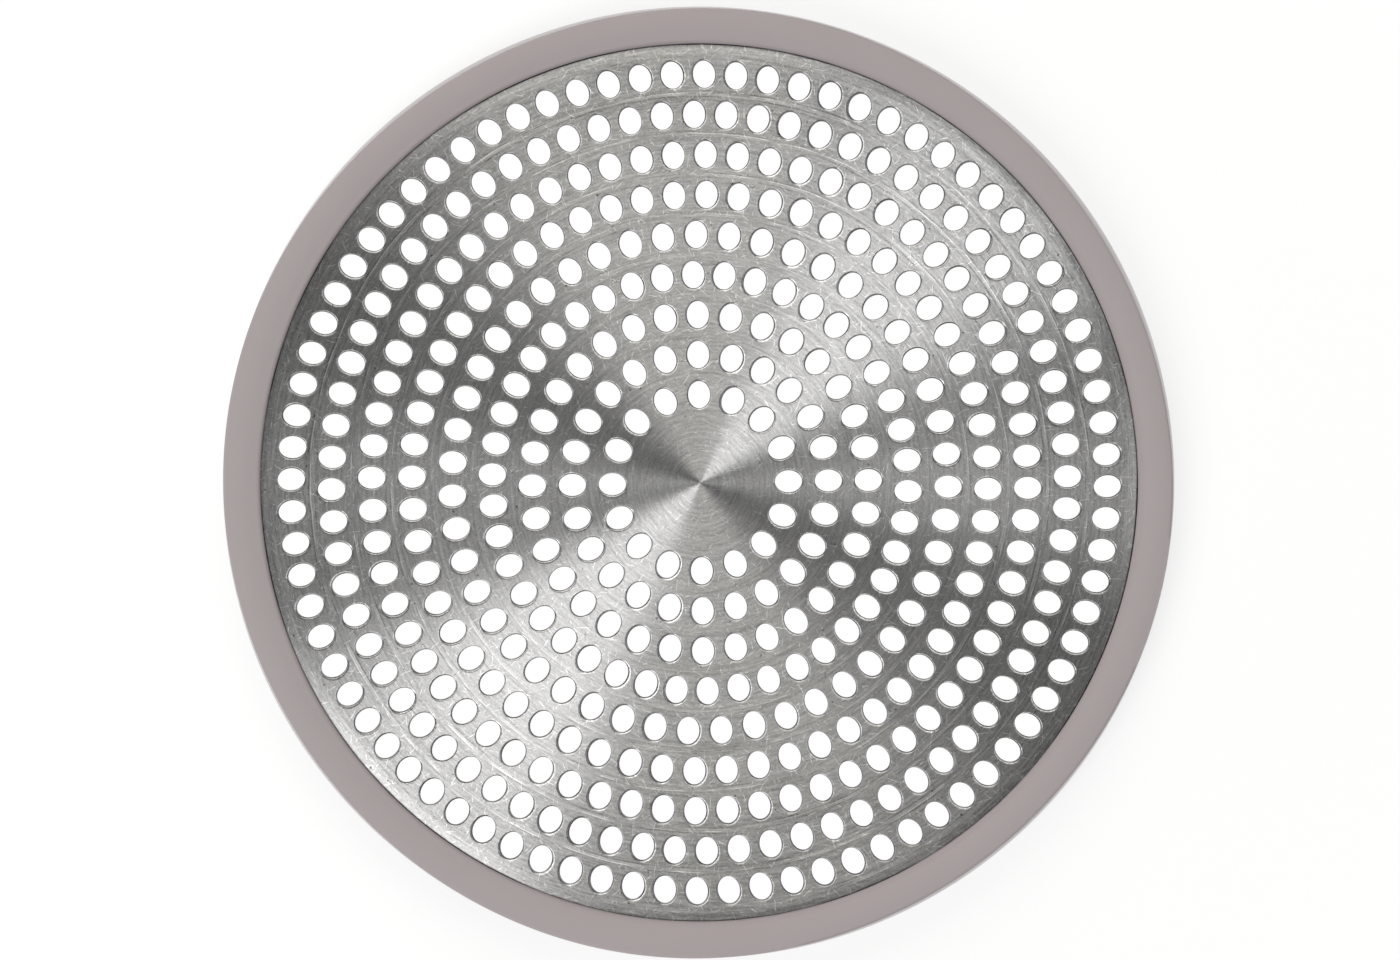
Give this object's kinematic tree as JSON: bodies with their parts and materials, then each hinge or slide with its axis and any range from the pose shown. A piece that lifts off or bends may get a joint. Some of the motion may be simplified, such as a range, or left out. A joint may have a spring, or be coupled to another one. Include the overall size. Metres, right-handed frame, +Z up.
{
  "type": "shower drain strainer",
  "caption": "Round flat shower drain strainer: brushed steel plate with rings of radial oval holes, held in a soft grey silicone rim that rests on the floor.",
  "frame": {"origin": "centre of the rim's foot, on the floor that the strainer lies on", "axes": "+Z up, out of the plate's top face; +X to the right and +Y away from the viewer as the picture shows the plate from above"},
  "size_m": [0.146, 0.146, 0.008],
  "materials": {
    "brushed_steel": "stainless steel, brushed in circles round the centre",
    "grey_silicone": "matt warm grey silicone"
  },
  "bodies": {
    "root": {"strainer_plate": "brushed_steel", "silicone_rim": "grey_silicone"}
  },
  "joints": []
}
